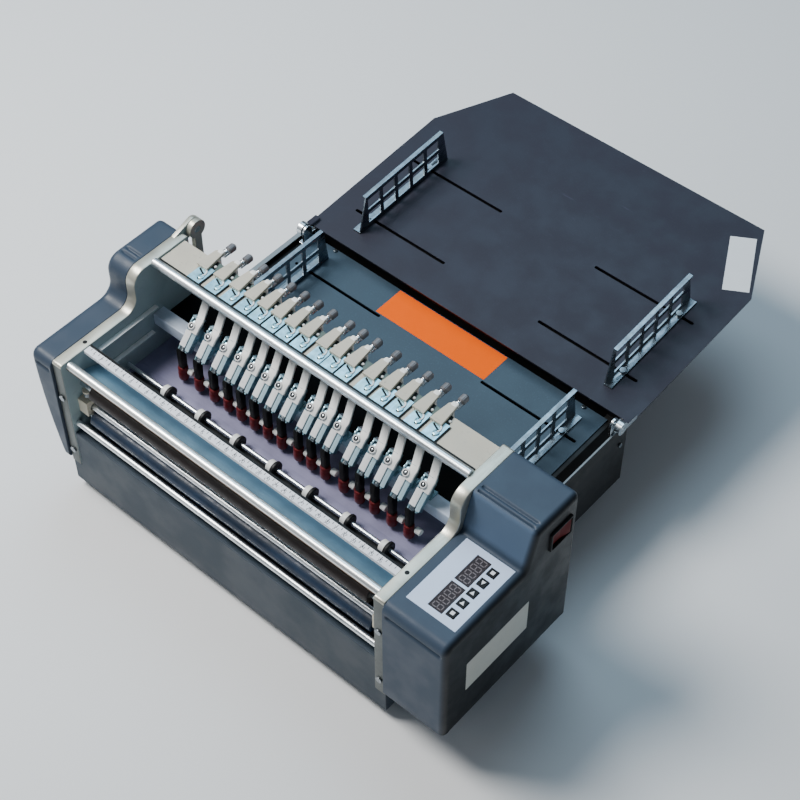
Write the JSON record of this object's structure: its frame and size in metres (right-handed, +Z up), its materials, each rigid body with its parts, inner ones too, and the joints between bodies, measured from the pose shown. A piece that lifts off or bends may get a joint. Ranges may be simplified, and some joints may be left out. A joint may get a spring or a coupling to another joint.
{
  "type": "label cutting machine",
  "caption": "Desk-top label cutter: sprung drag knives on a beam over a platen, driven feed and exit rollers, side panel with keys, feed tray and folding extension tray with side guides.",
  "frame": {"origin": "middle of the footprint, on the desk under the rubber feet", "axes": "+X to the right seen from the front, +Y from the sheet exit towards the extension tray, +Z up"},
  "size_m": [0.4976, 0.6096, 0.232],
  "materials": {
    "base_paint": "satin powder coat",
    "cast_alu": "machined cast",
    "cover_plastic": "fine grain",
    "panel_film": "printed film",
    "display": "smoked window",
    "ivory_paint": "satin",
    "chrome_rod": "polished",
    "zinc": "bright zinc plate",
    "knife_zinc": "bright zinc plate",
    "bright_steel": "polished",
    "ruler_white": "printed scale",
    "platen_steel": "ground",
    "screw_steel": "turned",
    "ivory_plastic": "moulded",
    "tray_paint": "satin powder coat",
    "black_paint": "satin powder coat",
    "dark_tray_paint": "fine texture powder coat",
    "rubber_black": "moulded",
    "roller_black": "ground rubber",
    "roller_blue": "ground rubber",
    "roller_brown": "ground rubber",
    "pinch_steel": "ground",
    "motor_case": "black",
    "rocker_red": "moulded",
    "key_black": "moulded"
  },
  "bodies": {
    "frame": {"base_pan": "base_paint", "left_side_plate": "cast_alu", "right_side_plate": "cast_alu", "left_end_cover": "cover_plastic", "right_end_cover": "cover_plastic", "control_panel": "panel_film", "display_windows": "display", "knife_beam": "ivory_paint", "knife_rail": "chrome_rod", "knife_bar": "zinc", "tie_tube": "chrome_rod", "guide_strip": "bright_steel", "ruler_bar": "ruler_white", "platen": "platen_steel", "hook_plates": "zinc", "pressure_tabs": "ivory_paint", "pressure_screws": "screw_steel", "coil_springs": "screw_steel", "pivot_blocks": "zinc", "bearing_blocks": "ivory_plastic", "front_rod": "chrome_rod", "feed_tray": "tray_paint", "tray_box": "black_paint", "hinge_brackets": "bright_steel", "rubber_feet": "rubber_black", "plate_screws": "screw_steel", "feed_motor": "motor_case"},
    "feed_roller": {"feed_roller": "roller_black"},
    "pinch_shaft": {"pinch_shaft": "pinch_steel"},
    "exit_roller": {"exit_roller": "roller_blue"},
    "exit_rod": {"exit_rod": "chrome_rod"},
    "press_roller": {"press_roller": "roller_brown"},
    "extension_tray": {"extension_tray": "dark_tray_paint"},
    "feed_guide_left": {"feed_guide_left": "zinc"},
    "feed_guide_right": {"feed_guide_right": "zinc"},
    "extension_guide_left": {"extension_guide_left": "zinc"},
    "extension_guide_right": {"extension_guide_right": "zinc"},
    "power_rocker": {"power_rocker": "rocker_red"},
    "release_lever": {"release_lever": "bright_steel"},
    "key_1": {"key_1": "key_black"},
    "key_2": {"key_2": "key_black"},
    "key_3": {"key_3": "key_black"},
    "key_4": {"key_4": "key_black"},
    "key_5": {"key_5": "key_black"},
    "knife_01": {"knife_01": "knife_zinc"},
    "knife_02": {"knife_02": "knife_zinc"},
    "knife_03": {"knife_03": "knife_zinc"},
    "knife_04": {"knife_04": "knife_zinc"},
    "knife_05": {"knife_05": "knife_zinc"},
    "knife_06": {"knife_06": "knife_zinc"},
    "knife_07": {"knife_07": "knife_zinc"},
    "knife_08": {"knife_08": "knife_zinc"},
    "knife_09": {"knife_09": "knife_zinc"},
    "knife_10": {"knife_10": "knife_zinc"},
    "knife_11": {"knife_11": "knife_zinc"},
    "knife_12": {"knife_12": "knife_zinc"},
    "knife_13": {"knife_13": "knife_zinc"},
    "knife_14": {"knife_14": "knife_zinc"},
    "knife_15": {"knife_15": "knife_zinc"},
    "knife_16": {"knife_16": "knife_zinc"}
  },
  "joints": [
    {"name": "feed_roller_spin", "type": "hinge", "parent": "frame", "child": "feed_roller", "pos_m": [-0.02475, -0.22633, 0.102], "axis": [1, 0, 0], "continuous": true},
    {"name": "pinch_shaft_spin", "type": "hinge", "parent": "frame", "child": "pinch_shaft", "pos_m": [-0.02475, -0.22633, 0.122], "axis": [1, 0, 0], "continuous": true},
    {"name": "exit_roller_spin", "type": "hinge", "parent": "frame", "child": "exit_roller", "pos_m": [-0.02475, -0.28233, 0.10475], "axis": [1, 0, 0], "continuous": true},
    {"name": "exit_rod_spin", "type": "hinge", "parent": "frame", "child": "exit_rod", "pos_m": [-0.02475, -0.28233, 0.11855], "axis": [1, 0, 0], "continuous": true},
    {"name": "press_roller_spin", "type": "hinge", "parent": "frame", "child": "press_roller", "pos_m": [-0.02475, -0.28183, 0.144], "axis": [1, 0, 0], "continuous": true},
    {"name": "extension_fold", "type": "hinge", "parent": "frame", "child": "extension_tray", "pos_m": [-0.02475, 0.01217, 0.131], "axis": [1, 0, 0], "range_deg": [0, 90]},
    {"name": "feed_guide_left_slide", "type": "slide", "parent": "frame", "child": "feed_guide_left", "axis": [1, 0, 0], "range_m": [-0.01, 0.095]},
    {"name": "feed_guide_right_slide", "type": "slide", "parent": "frame", "child": "feed_guide_right", "axis": [-1, 0, 0], "range_m": [-0.01, 0.095]},
    {"name": "extension_guide_left_slide", "type": "slide", "parent": "extension_tray", "child": "extension_guide_left", "axis": [1, 0, 0], "range_m": [-0.01, 0.095]},
    {"name": "extension_guide_right_slide", "type": "slide", "parent": "extension_tray", "child": "extension_guide_right", "axis": [-1, 0, 0], "range_m": [-0.01, 0.095]},
    {"name": "key_1_press", "type": "slide", "parent": "frame", "child": "key_1", "axis": [0, 0, -1], "range_m": [0, 0.0005], "stiffness_N_per_m": 400},
    {"name": "key_2_press", "type": "slide", "parent": "frame", "child": "key_2", "axis": [0, 0, -1], "range_m": [0, 0.0005], "stiffness_N_per_m": 400},
    {"name": "key_3_press", "type": "slide", "parent": "frame", "child": "key_3", "axis": [0, 0, -1], "range_m": [0, 0.0005], "stiffness_N_per_m": 400},
    {"name": "key_4_press", "type": "slide", "parent": "frame", "child": "key_4", "axis": [0, 0, -1], "range_m": [0, 0.0005], "stiffness_N_per_m": 400},
    {"name": "key_5_press", "type": "slide", "parent": "frame", "child": "key_5", "axis": [0, 0, -1], "range_m": [0, 0.0005], "stiffness_N_per_m": 400},
    {"name": "power_rocker_tilt", "type": "hinge", "parent": "frame", "child": "power_rocker", "pos_m": [0.24525, -0.15683, 0.193], "axis": [0, 0, 1], "range_deg": [0, 14]},
    {"name": "release_lever_swing", "type": "hinge", "parent": "frame", "child": "release_lever", "pos_m": [-0.21845, -0.11983, 0.222], "axis": [1, 0, 0], "range_deg": [0, 70]},
    {"name": "knife_01_lift", "type": "hinge", "parent": "frame", "child": "knife_01", "pos_m": [-0.16475, -0.18083, 0.179], "axis": [-1, 0, 0], "range_deg": [0, 6], "stiffness_Nm_per_rad": 0.4, "springref_deg": -5.73},
    {"name": "knife_02_lift", "type": "hinge", "parent": "frame", "child": "knife_02", "pos_m": [-0.14325, -0.18083, 0.179], "axis": [-1, 0, 0], "range_deg": [0, 6], "stiffness_Nm_per_rad": 0.4, "springref_deg": -5.73},
    {"name": "knife_03_lift", "type": "hinge", "parent": "frame", "child": "knife_03", "pos_m": [-0.12325, -0.18083, 0.179], "axis": [-1, 0, 0], "range_deg": [0, 6], "stiffness_Nm_per_rad": 0.4, "springref_deg": -5.73},
    {"name": "knife_04_lift", "type": "hinge", "parent": "frame", "child": "knife_04", "pos_m": [-0.10475, -0.18083, 0.179], "axis": [-1, 0, 0], "range_deg": [0, 6], "stiffness_Nm_per_rad": 0.4, "springref_deg": -5.73},
    {"name": "knife_05_lift", "type": "hinge", "parent": "frame", "child": "knife_05", "pos_m": [-0.08775, -0.18083, 0.179], "axis": [-1, 0, 0], "range_deg": [0, 6], "stiffness_Nm_per_rad": 0.4, "springref_deg": -5.73},
    {"name": "knife_06_lift", "type": "hinge", "parent": "frame", "child": "knife_06", "pos_m": [-0.07075, -0.18083, 0.179], "axis": [-1, 0, 0], "range_deg": [0, 6], "stiffness_Nm_per_rad": 0.4, "springref_deg": -5.73},
    {"name": "knife_07_lift", "type": "hinge", "parent": "frame", "child": "knife_07", "pos_m": [-0.05375, -0.18083, 0.179], "axis": [-1, 0, 0], "range_deg": [0, 6], "stiffness_Nm_per_rad": 0.4, "springref_deg": -5.73},
    {"name": "knife_08_lift", "type": "hinge", "parent": "frame", "child": "knife_08", "pos_m": [-0.03625, -0.18083, 0.179], "axis": [-1, 0, 0], "range_deg": [0, 6], "stiffness_Nm_per_rad": 0.4, "springref_deg": -5.73},
    {"name": "knife_09_lift", "type": "hinge", "parent": "frame", "child": "knife_09", "pos_m": [-0.01525, -0.18083, 0.179], "axis": [-1, 0, 0], "range_deg": [0, 6], "stiffness_Nm_per_rad": 0.4, "springref_deg": -5.73},
    {"name": "knife_10_lift", "type": "hinge", "parent": "frame", "child": "knife_10", "pos_m": [0.00075, -0.18083, 0.179], "axis": [-1, 0, 0], "range_deg": [0, 6], "stiffness_Nm_per_rad": 0.4, "springref_deg": -5.73},
    {"name": "knife_11_lift", "type": "hinge", "parent": "frame", "child": "knife_11", "pos_m": [0.01775, -0.18083, 0.179], "axis": [-1, 0, 0], "range_deg": [0, 6], "stiffness_Nm_per_rad": 0.4, "springref_deg": -5.73},
    {"name": "knife_12_lift", "type": "hinge", "parent": "frame", "child": "knife_12", "pos_m": [0.04025, -0.18083, 0.179], "axis": [-1, 0, 0], "range_deg": [0, 6], "stiffness_Nm_per_rad": 0.4, "springref_deg": -5.73},
    {"name": "knife_13_lift", "type": "hinge", "parent": "frame", "child": "knife_13", "pos_m": [0.05925, -0.18083, 0.179], "axis": [-1, 0, 0], "range_deg": [0, 6], "stiffness_Nm_per_rad": 0.4, "springref_deg": -5.73},
    {"name": "knife_14_lift", "type": "hinge", "parent": "frame", "child": "knife_14", "pos_m": [0.07725, -0.18083, 0.179], "axis": [-1, 0, 0], "range_deg": [0, 6], "stiffness_Nm_per_rad": 0.4, "springref_deg": -5.73},
    {"name": "knife_15_lift", "type": "hinge", "parent": "frame", "child": "knife_15", "pos_m": [0.09775, -0.18083, 0.179], "axis": [-1, 0, 0], "range_deg": [0, 6], "stiffness_Nm_per_rad": 0.4, "springref_deg": -5.73},
    {"name": "knife_16_lift", "type": "hinge", "parent": "frame", "child": "knife_16", "pos_m": [0.11775, -0.18083, 0.179], "axis": [-1, 0, 0], "range_deg": [0, 6], "stiffness_Nm_per_rad": 0.4, "springref_deg": -5.73}
  ],
  "couplings": [
    {"joint": "pinch_shaft_spin", "follows": "feed_roller_spin", "ratio": -1.5584},
    {"joint": "exit_roller_spin", "follows": "feed_roller_spin", "ratio": 1.2632},
    {"joint": "exit_rod_spin", "follows": "feed_roller_spin", "ratio": -3},
    {"joint": "press_roller_spin", "follows": "feed_roller_spin", "ratio": -1.3333}
  ]
}
